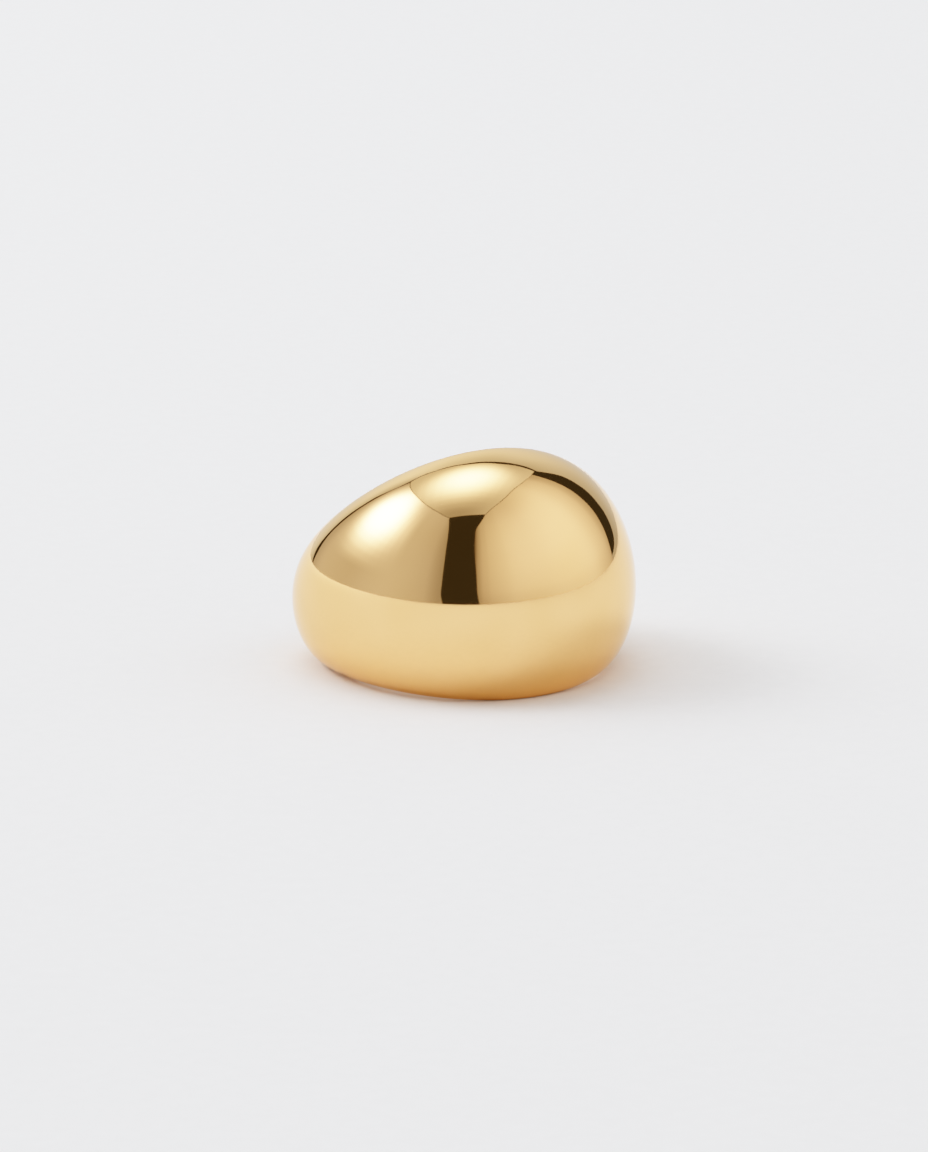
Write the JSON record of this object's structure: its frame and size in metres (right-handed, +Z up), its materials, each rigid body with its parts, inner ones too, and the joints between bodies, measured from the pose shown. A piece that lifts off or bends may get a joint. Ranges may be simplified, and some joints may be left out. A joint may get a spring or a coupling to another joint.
{
  "type": "dome ring",
  "caption": "Finger ring in one piece: a high, wide polished dome that tapers smoothly to a slim shank, lying on its side.",
  "frame": {"origin": "middle of the underside of the ring's box, on the surface that it rests on", "axes": "+Z up, the crown of the dome faces -Y and leans up, the shank is at +Y, and the ring is mirrored about X = 0"},
  "size_m": [0.0232, 0.023, 0.0158],
  "materials": {
    "polished_gold": "polished"
  },
  "bodies": {
    "root": {"ring": "polished_gold"}
  },
  "joints": []
}
